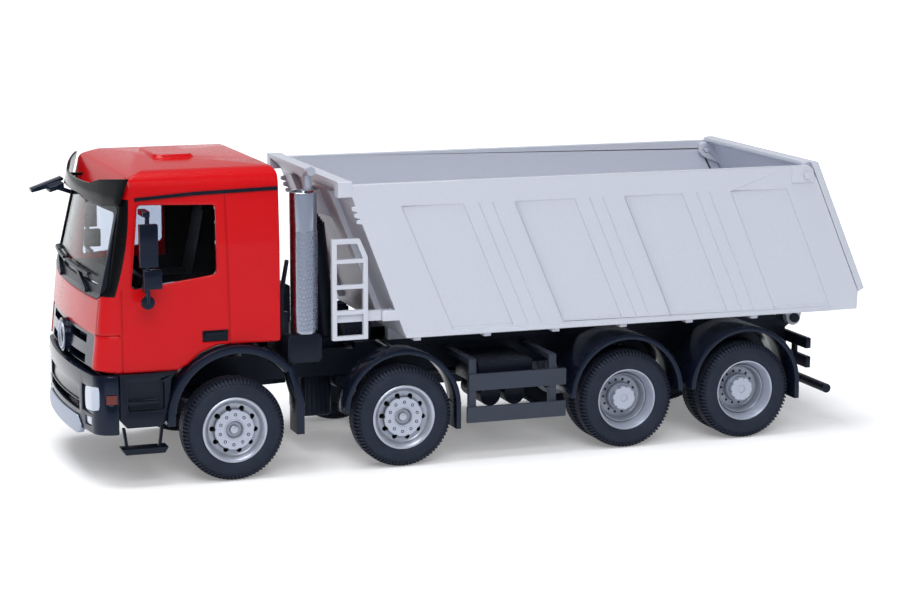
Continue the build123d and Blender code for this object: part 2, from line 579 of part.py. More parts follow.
def make_cab_outside():
    def visor_plan(inset):
        edges = ThreePointArc((11.55 - inset, -14.0), (14.5 - inset, 0), (11.55 - inset, 14.0))
        edges += Polyline((11.55 - inset, 14.0), (2, 14.0), (2, -14.0), (11.55 - inset, -14.0))
        return make_face(edges)
    lean = (0.2, 0, -1)
    length = 3.7 * hypot(1, 0.2)
    visor_z = roof_z - 1.25
    visor = extrude(Pos(0, 0, visor_z + 0.05) * visor_plan(0), amount=length, dir=lean)
    visor -= extrude(Pos(0, 0, visor_z + 0.1) * visor_plan(0.35), amount=length * 1.1, dir=lean)
    right = [(4.4, -1.2), (6.3, -1.15), (8.7, -0.5), (13.75, 0.05), (13.1, -2.95), (10.2, -3.25), (7.2, -2.9),
             (4.4, -2.55)]
    lobes = [(y, visor_z + z) for y, z in right] + [(-y, visor_z + z) for y, z in reversed(right)]
    radii = [0.9, 0.9, 0.9, 0.15, 0.4, 1.4, 1.4, 1.4]
    lobes = outline(lobes, radii + radii[::-1])
    visor = visor & from_front(lobes, 8, 18)
    visor -= cab_volume(-0.06)
    for y in (-6.0, 6.0):
        visor += box(11.3, 14.0, y - 0.25, y + 0.25, visor_z - 1.85, visor_z - 1.5) - cab_volume(-0.03)
    save("sun_visor", visor)
    mirrors = box(8.8, 10.8, 15.5, 16.3, 24.9, 29.6) + box(8.4, 10.4, 15.5, 16.3, 22.5, 24.6)
    mirrors += rod_z(9.9, 15.9, 22.0, 30.4, 0.25)
    mirrors += box(9.6, 10.4, 13.5, 16.1, 30.4, 31.0)
    mirrors += rod_z(9.9, 15.9, 20.9, 22.6, 0.25) + rod_y(9.9, 21.0, 0.75, 15.4, 15.9)
    mirrors += box(9.7, 10.2, 13.5, 16.0, 22.0, 22.4)
    plate = outline([(16.7, 29.4), (16.75, 29.85), (13.0, 31.15), (12.9, 30.8), (14.4, 29.95)], 0.12)
    front = from_side(plate, -16.3, -14.7)
    front += from_side(outline([(14.9, 29.6), (14.9, 30.2), (13.2, 30.7), (13.2, 30.1)]), -15.2, -12.8)
    front += from_side(outline([(14.0, 29.9), (14.0, 30.4), (11.0, 29.3), (11.0, 28.8)]), -13.6, -12.8)
    save("mirrors", pair(mirrors - cab_volume(-0.05)), front - cab_volume(-0.05))
    layer = cab_volume(-0.5) - cab_volume(-0.1)
    wipers = []
    for y in (-3.9, 8.3):
        blade = outline([(y - 10.0, 23.2), (y - 10.0, 23.5), (y - 0.1, 23.45), (y - 0.1, 23.15)])
        arm = outline([(y - 0.4, 21.3), (y - 4.95, 23.25), (y - 4.85, 23.55), (y + 0.3, 21.7),
                       (y + 0.3, 21.3)])
        wipers.append(from_front(blade + arm, 12, 18) & layer)
    save("wipers", wipers)


def make_exhaust():
    x, y = -8.7, 12.0
    stack_r = 1.45
    save("exhaust_stack", rod_z(x, y, 15.95, 31.9, stack_r))
    span = outline([(x, y), (x + 4, y + 4), (x, y + 8), (x - 7, y + 2)])
    shield = rod_z(x, y, 16.3, 27.5, stack_r + 0.17) - rod_z(x, y, 16, 29, stack_r + seat_gap)
    shield = shield & from_top(span, 16, 29)
    save("exhaust_shield", shield)
    path = FilletPolyline((x - 0.5, y, 31.95), (x - 0.5, y, 34.0), (x - 0.5, y + 1.6, 34.3), radius=0.7)
    pipe = sweep(Pos(x - 0.5, y, 31.95) * Circle(0.5), path=path)
    save("tailpipe", pipe)


# Dump body
def make_body():
    z0, z1 = body_floor_z, rim_z
    wall_outline = outline([(front_foot_x, z0), (front_top_x, z1), (gate_pin_x - 0.3, z1),
                            (gate_pin_x - 0.75, z1 - 0.3), (seam_x(gate_pin_z - 0.6), gate_pin_z - 0.6),
                            seam_foot, (seam_foot[0] + 0.1, z0)])
    body = from_side(wall_outline, -body_y, body_y)
    inner = outline([(front_x(floor_top_z) - headboard_t, floor_top_z),
                     (front_x(z1 + 2) - headboard_t, z1 + 2), (-90, z1 + 2), (-90, floor_top_z)])
    body -= from_side(inner, -body_y + wall_t, body_y - wall_t)
    slope_back = panel_slope * (panel_z[1] - panel_z[0])
    for i in range(panel_count):
        x = panel_first_x - i * panel_pitch
        panel = outline([(x, panel_z[1]), (x - panel_w, panel_z[1]), (x - panel_w - slope_back, panel_z[0]),
                         (x - slope_back, panel_z[0])])
        body -= both(from_side(panel, body_y - panel_depth, body_y + 1))
        if i == panel_count - 1:
            continue
        for back in score_x:
            x0 = x - panel_w - back
            line = outline([(x0, panel_z[1]), (x0 - score_w, panel_z[1]),
                            (x0 - score_w - slope_back, panel_z[0]), (x0 - slope_back, panel_z[0])])
            body -= both(from_side(line, body_y - score_depth, body_y + 1))
    edge = outline([(front_foot_x, z0), (front_x(z0 + 0.5), z0 + 0.5), (-73.8, z0 + 0.5), (-74.2, z0)])
    body += both(from_side(edge, body_y - 0.1, body_y + ledge))
    ahead, behind = gate_pin_x + 1.9, gate_pin_x - 0.95
    block = outline([(ahead, z1 - 0.1), (gate_pin_x - 0.35, z1 - 0.1), (gate_pin_x - 0.75, z1 - 0.35),
                     (behind, z1 - 0.75), (behind, gate_pin_z - 0.85), (ahead, gate_pin_z - 0.85)])
    body += both(from_side(block, body_y - 0.1, body_y + 0.25))
    low = z1 - 1.4
    lip = outline([(front_top_x - 0.5, z1 + 0.4), (front_top_x + lip_front, z1 + 0.4),
                   (front_top_x + lip_front, z1), (front_x(low) + 0.2, low), (front_x(low) - 0.4, low)])
    body += from_side(lip, -body_y, body_y)
    body += both(box(front_top_x - 0.55, front_top_x + lip_front, body_y - 1.3, body_y + 0.05, low, z1 + 0.4))
    first = z1 - 4.4
    teeth = [(front_x(first - 0.1) - 0.3, first - 0.1)]
    for i in range(3):
        z = first + i * 0.75
        teeth += [(front_x(z) + 0.6, z), (front_x(z) + 0.6, z + 0.4), (front_x(z) + 0.1, z + 0.5)]
    teeth += [(front_x(first + 2.3) - 0.3, first + 2.3)]
    body += both(from_side(outline(teeth), body_y - 0.5, body_y))
    for y in (-8.2, 7.4):
        rib = outline([(front_x(16.2) - 0.2, 16.2), (front_x(16.2) + 0.7, 16.2), (front_x(low) + 0.7, low),
                       (front_x(low) - 0.2, low)])
        body += from_side(rib, y, y + 0.8)
    sill = box(-71.6, -21.0, rail_y - rail_flange, rail_y, subframe_top + 0.05, z0 + 0.2)
    body += both(sill)
    for x in (-22.0, -30.5, -39.0, -47.5, -56.0, -64.5):
        body += box(x, x + 0.9, -body_y + 0.6, body_y - 0.6, z0 - 0.5, z0 + 0.1)
    lug = outline([(hinge_x + 2.4, z0 + 0.1), (hinge_x + 1.0, hinge_z + 0.3), (hinge_x + 0.6, hinge_z - 0.8),
                   (hinge_x - 0.6, hinge_z - 0.8), (hinge_x - 1.0, hinge_z + 0.3), (hinge_x - 1.1, z0 + 0.1)])
    lug_y = (rail_y + 0.15, rail_y + 1.3)
    body += both(from_side(lug, *lug_y) + rod_y(hinge_x, hinge_z, hinge_boss_r, *lug_y))
    body -= rod_y(hinge_x, hinge_z, hinge_pin_r + fit_gap, -8, 8)
    foot, top = eye_z - 1.8, eye_z + 1.8
    cheek = outline([(front_x(foot) - 0.2, foot), (eye_x + 0.9, eye_z - 0.7), (eye_x + 0.9, eye_z + 0.6),
                     (front_x(top) - 0.2, top)])
    body += both(from_side(cheek, 1.0, 1.5))
    body -= rod_y(gate_pin_x, gate_pin_z, gate_pin_r, -16, 16)
    arm = box(front_x(17.7) - 0.3, -11.5, 13.3, 13.85, 17.1, 18.3)
    arm += box(front_x(17.7) - 0.3, -17.2, 13.3, body_y, 17.1, 18.3)
    body += arm
    spill = outline([(front_x(16.9), 16.9), (front_x(18.5), 18.5), (-25, 18.5), (-25, 16.9)])
    body -= from_side(spill, 12.0, 13.3)
    save("dump_body", body)
    save("gate_pins", pair(rod_y(gate_pin_x, gate_pin_z, gate_pin_r, 12.7, 14.95)
                           + rod_y(gate_pin_x, gate_pin_z, 0.43, 14.87, 15.02)))


def make_ladder():
    y0, y1 = 13.9, 14.5
    front, rear = -11.3, -15.5
    bar = 0.55
    foot, top = body_floor_z + 0.2, rim_z - 6.05
    knee = top - 2.25
    ladder = box(front - bar, front, y0, y1, foot, top) + box(rear, rear + bar, y0, y1, foot, knee)
    ladder += box(rear + 1.0, front, y0, y1, top - bar, top)
    slant = outline([(rear + 1.5, top), (rear + 0.95, top), (rear, knee + 0.1), (rear, knee - 0.5),
                     (rear + bar, knee - 0.5), (rear + bar, knee - 0.1)])
    ladder += from_side(slant, y0, y1)
    rung_pitch = (knee - 0.5 - foot) / 3
    for i in range(4):
        z = foot + i * rung_pitch
        ladder += box(rear, front, y0, y1, z, z + 0.45)
    save("ladder", ladder)


def make_tailgate():
    z0, z1 = gate_z
    inner_face = outline([(seam_x(z0) - gate_gap, z0), (seam_x(z1) - gate_gap, z1), (seam_x(z1) - gate_t, z1),
                          (seam_x(z0 + 0.4) - gate_t, z0 + 0.4)])
    gate = from_side(inner_face, -body_y, body_y)
    high = rim_z - 1.1
    for y in (-13.3, -4.2, 4.9):
        recess = outline([(seam_x(18.6) - gate_t + 0.3, 18.6), (seam_x(high) - gate_t + 0.3, high),
                          (seam_x(high) - gate_t - 1, high), (seam_x(18.6) - gate_t - 1, 18.6)])
        gate -= from_side(recess, y, y + 8.4)
    plank = outline([(seam_x(z1) - gate_t, z1), (gate_pin_x + 0.1, z1), (gate_pin_x + 0.1, z1 - 0.45),
                     (seam_x(rim_z - 0.7) - 0.3, rim_z - 0.7)])
    inside = body_y - wall_t - 0.1
    gate += from_side(plank, -inside, inside)
    top, foot = gate_pin_z + 1.25, gate_pin_z - 2.05
    ear = outline([(seam_x(top) - 0.3, top), (gate_pin_x + 0.8, top - 0.4),
                   (gate_pin_x + 0.9, gate_pin_z - 0.3), (gate_pin_x + 0.3, gate_pin_z - 0.9),
                   (seam_x(foot) - 0.3, foot)])
    gate += both(from_side(ear, 12.9, inside))
    gate -= rod_y(gate_pin_x, gate_pin_z, gate_pin_r + fit_gap, -16, 16)
    save("tailgate", gate)


# Telescopic cylinder, in its own frame along z from the foot pin, then leaned to the eye
def make_cylinder():
    length = hypot(eye_x - foot_x, eye_z - foot_z)
    lean = Pos(foot_x, 0, foot_z) * Rot(0, degrees(atan2(eye_x - foot_x, eye_z - foot_z)), 0)
    names = ("cylinder_barrel", "cylinder_stage_1", "cylinder_stage_2", "cylinder_stage_3", "cylinder_rod")
    first, step = 1.3, 0.35
    top = length - 2.6
    for i, (name, (outer, bore)) in enumerate(zip(names, stage_radii)):
        z0 = first + i * 0.2
        z1 = top + i * step
        if i == 0:
            tube = rod_z(0, 0, 0.3, z1, outer) - rod_z(0, 0, z0, z1 + 1, bore)
            tube += rod_y(0, 0, 0.9, -1.2, 1.2)
            tube -= rod_y(0, 0, foot_pin_r + fit_gap, -2, 2)
        elif bore:
            tube = rod_z(0, 0, z0, z1, outer) - rod_z(0, 0, z0 + 0.2, z1 + 1, bore)
        else:
            tube = rod_z(0, 0, z0, length - 0.6, outer) + rod_y(0, length, 0.8, -0.7, 0.7)
            tube -= rod_y(0, length, eye_bore_r, -2, 2)
        save(name, lean * tube)


def main():
    os.makedirs("parts", exist_ok=True)
    make_frame()
    make_running_gear()
    make_chassis_side()
    make_mudguards()
    make_cab()
    make_interior()
    make_front()
    make_steps()
    make_cab_outside()
    make_exhaust()
    make_body()
    make_ladder()
    make_tailgate()
    make_cylinder()
    for n in axle_x:
        make_axle(n)


main()
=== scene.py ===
# %% [markdown]
# A 1:87 dump truck, moulded in plastic: red cab, silver load body, black chassis and silver wheels.
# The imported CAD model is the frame. It carries the main shapes, and this script gives each of them the
# finish of its own moulding, and adds what is too fine for the CAD: the tyres' tread, the wheels' nuts
# and hubs, lamp lenses, rounded edges, a few lumps in the dark under the frame, and trim.

# %% Load the frame
import json
from math import atan2, cos, degrees, pi, radians, sin

import bpy
from mathutils import Matrix, Vector


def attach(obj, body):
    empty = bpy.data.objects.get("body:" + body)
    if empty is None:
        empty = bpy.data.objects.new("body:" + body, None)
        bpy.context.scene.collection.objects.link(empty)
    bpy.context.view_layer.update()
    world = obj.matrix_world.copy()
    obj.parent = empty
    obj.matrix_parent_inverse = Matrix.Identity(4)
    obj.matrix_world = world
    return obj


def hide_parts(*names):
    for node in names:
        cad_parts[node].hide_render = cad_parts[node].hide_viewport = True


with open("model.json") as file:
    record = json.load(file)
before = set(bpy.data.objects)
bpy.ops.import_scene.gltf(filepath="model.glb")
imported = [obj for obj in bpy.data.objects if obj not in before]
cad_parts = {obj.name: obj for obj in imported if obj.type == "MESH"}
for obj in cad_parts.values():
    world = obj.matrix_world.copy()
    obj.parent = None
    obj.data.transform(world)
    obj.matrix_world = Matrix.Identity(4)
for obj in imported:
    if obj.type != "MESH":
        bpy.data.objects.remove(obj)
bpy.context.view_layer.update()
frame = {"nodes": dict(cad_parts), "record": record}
nodes = frame["nodes"]
mm = 0.001

# %% [markdown]
# The camera. The photograph was taken with a long lens, a little above the truck and turned towards
# its left side, so parallel edges hardly converge. Heading, tilt and lens were worked out from the
# wheels' centres and the body's corners.

# %% Camera
camera_place = Vector((100.47, 278.55, 69.08)) * mm
heading, tilt, roll = 180 - 20.177, 90 - 10.078, 0.225
sensor_width, picture_width = 36.0, 900
focal_length = 2509.96 / picture_width * sensor_width
bpy.ops.object.camera_add(location=camera_place)
camera = bpy.context.object
camera.name = "photo_camera"
turn = Matrix.Rotation(radians(heading), 4, "Z") @ Matrix.Rotation(radians(tilt), 4, "X")
camera.matrix_world = Matrix.Translation(camera_place) @ turn @ Matrix.Rotation(radians(roll), 4, "Z")
camera.data.lens = focal_length
camera.data.sensor_width = sensor_width
camera.data.shift_x = -18.29 / picture_width
camera.data.shift_y = -1.12 / picture_width
camera.data.clip_start = 0.01
bpy.context.scene.camera = camera

# %% [markdown]
# Materials. One function turns the hex colours that painters and printers use into the linear values
# that the renderer works in, and the rest add nodes with their settings and links.

# %% Material helpers
def linear(code):
    """sRGB hex code as linear red, green, blue and alpha."""
    values = [int(code[i:i + 2], 16) / 255 for i in (0, 2, 4)]
    return [v / 12.92 if v <= 0.04045 else ((v + 0.055) / 1.055) ** 2.4 for v in values] + [1.0]


def link(material, first, second):
    """Joins two sockets."""
    material.node_tree.links.new(first, second)


def add_node(material, kind, settings=None, links=None, **inputs):
    """Adds one node. settings are its own options, links its fed inputs and inputs its typed values."""
    node = material.node_tree.nodes.new(kind)
    for name, value in (settings or {}).items():
        setattr(node, name, value)
    for name, value in inputs.items():
        node.inputs[name.replace("_", " ")].default_value = value
    for name, socket in (links or {}).items():
        link(material, socket, node.inputs[name])
    return node


def new_material(name, colour, **inputs):
    """A material with its principled shader set, and Object coordinates to hang patterns on."""
    material = bpy.data.materials.new(name)
    material.use_nodes = True
    shader = material.node_tree.nodes["Principled BSDF"]
    shader.inputs["Base Color"].default_value = linear(colour)
    for key, value in inputs.items():
        shader.inputs[key.replace("_", " ")].default_value = value
    return material, shader, add_node(material, "ShaderNodeTexCoord").outputs["Object"]


def maths(material, operation, *values):
    """One math node. Each value is a number or another node's socket."""
    node = add_node(material, "ShaderNodeMath", {"operation": operation})
    for place, value in enumerate(values):
        if isinstance(value, (int, float)):
            node.inputs[place].default_value = value
        else:
            link(material, value, node.inputs[place])
    return node.outputs[0]


def remap(material, value, low, high, to_low=0.0, to_high=1.0):
    """A socket's value, spread from one range to another and kept inside it."""
    return add_node(material, "ShaderNodeMapRange", links={"Value": value}, From_Min=low, From_Max=high,
                    To_Min=to_low, To_Max=to_high).outputs["Result"]


def noise(material, place, size_mm, detail=2.0):
    """Noise with spots of about size_mm."""
    return add_node(material, "ShaderNodeTexNoise", links={"Vector": place}, Scale=1 / (size_mm * mm),
                    Detail=detail).outputs["Fac"]


def vary(material, place, socket, size_mm, low, high, detail=2.0):
    """Noise spread between two values and fed to a socket."""
    spots = noise(material, place, size_mm, detail)
    link(material, remap(material, spots, 0.3, 0.7, low, high), socket)
    return spots


def raise_by(material, shader, height, depth_mm, soft_mm=0):
    """Bump from a height between 0 and 1, as deep as depth_mm. Light sees corners rounded to soft_mm."""
    bump = add_node(material, "ShaderNodeBump", links={"Height": height}, Strength=1.0,
                    Distance=depth_mm * mm)
    if soft_mm:
        corner = add_node(material, "ShaderNodeBevel", {"samples": 8}, Radius=soft_mm * mm)
        link(material, corner.outputs["Normal"], bump.inputs["Normal"])
    link(material, bump.outputs["Normal"], shader.inputs["Normal"])


def two_tone(material, shader, fac, dark, light):
    """Colour that drifts between two hex codes with fac."""
    mix = add_node(material, "ShaderNodeMix", {"data_type": "RGBA"}, {"Factor": fac})
    mix.inputs[6].default_value = linear(dark)
    mix.inputs[7].default_value = linear(light)
    link(material, mix.outputs[2], shader.inputs["Base Color"])


# %% [markdown]
# Moulded plastics. A polished steel mould leaves ABS almost mirror smooth, with a faint orange peel a
# few tenths of a millimetre across. On a model this small, dust and handling show as small changes of
# gloss. Each colour is one material, moulded in the mass.

# %% Moulded plastics
tone_mm = 9
# Painted reflection: the black plastics and the tyres tint their reflections blue.
painted_reflection_tint = (0.68, 0.81, 1.0, 1)


def moulded(name, colour, dark, roughness, peel_mm, peel_depth, soft_mm=0, **inputs):
    """ABS moulded in one colour, with orange peel and small changes of gloss."""
    material, shader, place = new_material(name, colour, IOR=1.53, **inputs)
    peel = vary(material, place, shader.inputs["Roughness"], peel_mm, roughness * 0.8, roughness * 1.25)
    two_tone(material, shader, noise(material, place, tone_mm, 3.0), dark, colour)
    raise_by(material, shader, peel, peel_depth, soft_mm)
    return material


red_abs = moulded("red_moulded_abs", "c40f16", "ba0b12", 0.2, 0.35, 0.004, 0.45, Specular_IOR_Level=0.26)
black_abs = moulded("black_moulded_abs", "131723", "0e111a", 0.34, 0.3, 0.006, Specular_IOR_Level=0.3,
                    Specular_Tint=painted_reflection_tint)
gloss_black_abs = moulded("gloss_black_abs", "131929", "0e1320", 0.16, 0.4, 0.003,
                          Specular_IOR_Level=0.38, Specular_Tint=painted_reflection_tint)
guard_grey_abs = moulded("dark_grey_moulded_abs", "353c4b", "2d3340", 0.4, 0.3, 0.006,
                         Specular_IOR_Level=0.35)
interior_abs = moulded("dark_interior_abs", "1b1b1f", "131317", 0.5, 0.25, 0.01, Specular_IOR_Level=0.25)
visor_abs = moulded("deep_black_abs", "07070a", "050507", 0.14, 0.4, 0.003, Specular_IOR_Level=0.16)
print("plastics:", red_abs.name, black_abs.name, gloss_black_abs.name, guard_grey_abs.name)

# %% [markdown]
# Windscreen seal. A black band is printed on each pillar beside the windscreen, down to its lower
# corner. It follows a curve in the side view, so the red turns black where x passes a curve of z.

# %% Windscreen seal
seal_x, seal_z, seal_bend, seal_slope = 42.15, 30.5, 0.015, 0.05
seal_low, seal_high = 21.3, 31.9
blur = 0.1
red_shader = red_abs.node_tree.nodes["Principled BSDF"]
where = add_node(red_abs, "ShaderNodeSeparateXYZ",
                 links={"Vector": add_node(red_abs, "ShaderNodeTexCoord").outputs["Object"]}).outputs
drop = maths(red_abs, "SUBTRACT", seal_z * mm, where["Z"])
bend = maths(red_abs, "MULTIPLY", maths(red_abs, "MULTIPLY", drop, drop), seal_bend / mm)
slope = maths(red_abs, "MULTIPLY", drop, seal_slope)
ahead = maths(red_abs, "SUBTRACT", maths(red_abs, "SUBTRACT", where["X"], bend), slope)
ahead = remap(red_abs, ahead, seal_x * mm, (seal_x + blur) * mm)
above = remap(red_abs, where["Z"], seal_low * mm, (seal_low + blur) * mm)
below = remap(red_abs, where["Z"], seal_high * mm, (seal_high + blur) * mm, 1.0, 0.0)
sealed = maths(red_abs, "MULTIPLY", maths(red_abs, "MULTIPLY", ahead, above), below)
seal = add_node(red_abs, "ShaderNodeMix", {"data_type": "RGBA"}, {"Factor": sealed})
seal.inputs[7].default_value = linear("0a0a0d")
link(red_abs, red_shader.inputs["Base Color"].links[0].from_socket, seal.inputs[6])
link(red_abs, seal.outputs[2], red_shader.inputs["Base Color"])
print("seal printed on", red_abs.name)

# %% [markdown]
# Silver plastic. The load body is moulded in grey plastic filled with aluminium flakes, which gives a
# satin sheen instead of clear mirror images. The flakes are near 0.03 mm, too fine to see here, so
# they are drawn about 0.12 mm across, and wider on the wheels. An ambient occlusion node paints shade
# into the wheels' colour, darker in their channels, holes and corners.

# %% Silver plastic
def flaked(name, colour, dark, roughness, metallic, flake_mm=0.12):
    """Plastic filled with aluminium flakes."""
    material, shader, place = new_material(name, colour, Metallic=metallic)
    flake = vary(material, place, shader.inputs["Roughness"], flake_mm, roughness - 0.06,
                 roughness + 0.08, 1.0)
    two_tone(material, shader, noise(material, place, flake_mm, 1.0), dark, colour)
    raise_by(material, shader, flake, 0.004)
    return material


silver_flake = flaked("silver_flaked_plastic", "ced2dd", "c0c4d0", 0.42, 0.15)
wheel_silver = flaked("silver_wheel_plastic", "c4cbda", "bcc3d2", 0.36, 0.6, 0.4)
# Painted shade: an ambient occlusion factor darkens the wheels' base colour in their channels, holes and
# corners.
shade = add_node(wheel_silver, "ShaderNodeAmbientOcclusion", {"samples": 8}, Distance=1.1 * mm)
wheel_shader = wheel_silver.node_tree.nodes["Principled BSDF"]
plain = wheel_shader.inputs["Base Color"].links[0].from_socket
depth = remap(wheel_silver, shade.outputs["AO"], 0.35, 0.9, 0.12, 1.0)
deep = add_node(wheel_silver, "ShaderNodeVectorMath", {"operation": "SCALE"},
                {"Vector": plain, "Scale": depth})
link(wheel_silver, deep.outputs["Vector"], wheel_shader.inputs["Base Color"])
dull_silver = flaked("dull_silver_plastic", "a9b2c4", "99a2b5", 0.4, 0.3)

# %% [markdown]
# Chrome plating on the exhaust, drawn steel for the pins, clear glazing, smoked visor, lamp lenses and
# tyre vinyl. Plated plastic mirrors its surroundings, softened by the coat under it. Glazing that faces
# sideways is painted darker than the windscreen, as painted shade.

# %% Plated, clear and rubbery finishes
chrome_plate, chrome_shader, chrome_place = new_material("vacuum_plated_chrome", "b9c0cc", Metallic=1.0)
raise_by(chrome_plate, chrome_shader,
         vary(chrome_plate, chrome_place, chrome_shader.inputs["Roughness"], 0.5, 0.16, 0.26), 0.004)

pin_steel, steel_shader, steel_place = new_material("drawn_steel_wire", "a9abb0", Metallic=1.0)
along = add_node(pin_steel, "ShaderNodeMapping", links={"Vector": steel_place}, Scale=(1, 0.05, 1))
drawn = vary(pin_steel, along.outputs["Vector"], steel_shader.inputs["Roughness"], 0.06, 0.25, 0.4)
raise_by(pin_steel, steel_shader, drawn, 0.003)

clear_styrene, clear_shader, clear_place = new_material("clear_moulded_styrene", "f4f8fa", IOR=1.1,
                                                        Transmission_Weight=1.0)
vary(clear_styrene, clear_place, clear_shader.inputs["Roughness"], 2.0, 0.0, 0.02)
# Painted shade: glazing that faces sideways gets the darker colour, by the way its faces point.
facing = add_node(clear_styrene, "ShaderNodeSeparateXYZ",
                  links={"Vector": add_node(clear_styrene, "ShaderNodeTexCoord").outputs["Normal"]})
side_glass_painted_shade = maths(clear_styrene, "ABSOLUTE", facing.outputs["Y"])
two_tone(clear_styrene, clear_shader, side_glass_painted_shade, "f4f8fa", "c4cad6")

smoked_styrene, smoked_shader, smoked_place = new_material("smoked_moulded_styrene", "07070a", IOR=1.5,
                                                           Specular_IOR_Level=0.3)
raise_by(smoked_styrene, smoked_shader,
         vary(smoked_styrene, smoked_place, smoked_shader.inputs["Roughness"], 0.6, 0.06, 0.12), 0.003)

lamp_lens, lens_shader, lens_place = new_material("lamp_lens_styrene", "b4bfd0", IOR=1.5, Coat_Weight=0.6)
raise_by(lamp_lens, lens_shader,
         vary(lamp_lens, lens_place, lens_shader.inputs["Roughness"], 0.3, 0.06, 0.14), 0.01)

amber_lens, amber_shader, amber_place = new_material("amber_lens_styrene", "5e1a12", IOR=1.5,
                                                     Coat_Weight=0.5)
vary(amber_lens, amber_place, amber_shader.inputs["Roughness"], 0.3, 0.1, 0.2)

# The tyres' reflections take the same painted blue tint as the black plastics'.
tyre_vinyl, tyre_shader, tyre_place = new_material("black_tyre_vinyl", "1c1d23", Specular_IOR_Level=0.3,
                                                   Specular_Tint=painted_reflection_tint)
tyre_grain = vary(tyre_vinyl, tyre_place, tyre_shader.inputs["Roughness"], 0.2, 0.5, 0.68, 3.0)
two_tone(tyre_vinyl, tyre_shader, noise(tyre_vinyl, tyre_place, 1.5, 4.0), "1a1e2a", "282d3b")
raise_by(tyre_vinyl, tyre_shader, tyre_grain, 0.012)

# %% [markdown]
# Every CAD node gets the finish of its record slot, and a few take a glossier or duller black.

# %% Finishes of the CAD nodes
finish_of_slot = {"red_plastic": red_abs, "silver_plastic": silver_flake, "black_plastic": black_abs,
                  "chrome_plastic": chrome_plate, "clear_plastic": clear_styrene,
                  "smoked_plastic": smoked_styrene, "lens": lamp_lens, "amber_lens": amber_lens,
                  "interior": interior_abs, "tyre": tyre_vinyl, "steel": pin_steel}
special_finish = {"bumper": gloss_black_abs, "front_mudguards": gloss_black_abs,
                  "grille": gloss_black_abs, "second_mudguards": gloss_black_abs,
                  "rear_mudguards": gloss_black_abs, "mirrors": gloss_black_abs, "sun_visor": visor_abs,
                  "cylinder_rod": chrome_plate, "tailpipe": wheel_silver,
                  "side_guards": guard_grey_abs, "skid_plate": dull_silver}
for part in frame["record"]["subparts"]:
    node = nodes[part["node"]]
    finish = special_finish.get(part["node"], finish_of_slot[part["material_slot"]])
    node.data.materials.clear()
    node.data.materials.append(finish)

# %% [markdown]
# Small helpers for modelling by hand. One adds a ring and grows it loop by loop with extrude and scale,
# the way a turned part is drawn on a lathe. The rest copy, join, drill and finish pieces.

# %% Modelling helpers
bpy.ops.object.select_all(action="DESELECT")


def start(name):
    """Names the new primitive, which is now the active object."""
    piece = bpy.context.object
    piece.name = name
    piece.data.name = name
    return piece


def pick(piece):
    """Makes a piece the one object that is worked on."""
    bpy.ops.object.select_all(action="DESELECT")
    piece.select_set(True)
    bpy.context.view_layer.objects.active = piece


def modify(piece, kind, **settings):
    """Adds a modifier with its settings and applies it."""
    pick(piece)
    modifier = piece.modifiers.new(kind, kind)
    for key, value in settings.items():
        setattr(modifier, key, value)
    bpy.ops.object.modifier_apply(modifier=modifier.name)


def edit_all(piece):
    """Edit mode with every vertex selected."""
    pick(piece)
    bpy.ops.object.mode_set(mode="EDIT")
    bpy.ops.mesh.select_mode(type="VERT")
    bpy.ops.mesh.select_all(action="SELECT")


def settle(piece, finish):
    """Puts the place into the mesh, leaves the object at the origin and gives it a finish."""
    pick(piece)
    bpy.ops.object.transform_apply(location=True, rotation=True, scale=True)
    piece.data.materials.clear()
    piece.data.materials.append(finish)


def pick_faces(piece):
    """Gets a mesh ready for faces to be selected one by one, with none selected yet."""
    edit_all(piece)
    bpy.ops.mesh.select_mode(type="FACE")
    bpy.ops.mesh.select_all(action="DESELECT")
    bpy.ops.object.mode_set(mode="OBJECT")


def thicken(piece, thickness_mm):
    """Gives a sheet its thickness, inwards from its faces, with a solidify modifier."""
    modify(piece, "SOLIDIFY", thickness=thickness_mm * mm, offset=-1)


def lathe(name, profile, steps, ends="closed"):
    """Turned part about the Y axis at the origin, grown ring by ring from (y, radius) points in mm. Its
    ends are joined to each other (closed), filled (capped) or left (open)."""
    (y0, r0) = profile[0]
    bpy.ops.mesh.primitive_circle_add(vertices=steps, radius=r0 * mm, location=(0, y0 * mm, 0),
                                      rotation=(pi / 2, 0, 0))
    piece = start(name)
    bpy.ops.object.transform_apply(location=True, rotation=True, scale=True)
    edit_all(piece)
    y_now, r_now = y0, r0
    rings = profile[1:] + ([profile[0]] if ends == "closed" else [])
    for y, r in rings:
        bpy.ops.mesh.extrude_region_move(TRANSFORM_OT_translate={"value": (0, (y - y_now) * mm, 0)})
        bpy.ops.transform.resize(value=(r / r_now, 1, r / r_now), center_override=(0, y * mm, 0))
        y_now, r_now = y, r
    bpy.ops.mesh.select_all(action="SELECT")
    bpy.ops.mesh.remove_doubles(threshold=0.001 * mm)
    if ends == "capped":
        bpy.ops.mesh.fill_holes(sides=0)
        bpy.ops.mesh.select_all(action="SELECT")
    bpy.ops.mesh.normals_make_consistent(inside=False)
    bpy.ops.object.mode_set(mode="OBJECT")
    return piece


def copy_of(piece, name, matrix, flip=False):
    """Copy with its own mesh, moved by a matrix, its faces turned back out where it is mirrored."""
    twin = piece.copy()
    twin.data = piece.data.copy()
    twin.name = name
    twin.data.name = name
    bpy.context.scene.collection.objects.link(twin)
    twin.data.transform(matrix)
    if flip:
        twin.data.flip_normals()
    return twin


def smooth(piece, angle=35):
    """Smooth shading across edges blunter than angle."""
    pick(piece)
    bpy.ops.object.shade_smooth_by_angle(angle=radians(angle))


def join(name, pieces):
    """Joins pieces into the first."""
    bpy.ops.object.select_all(action="DESELECT")
    for piece in pieces:
        piece.select_set(True)
    bpy.context.view_layer.objects.active = pieces[0]
    bpy.ops.object.join()
    return start(name)


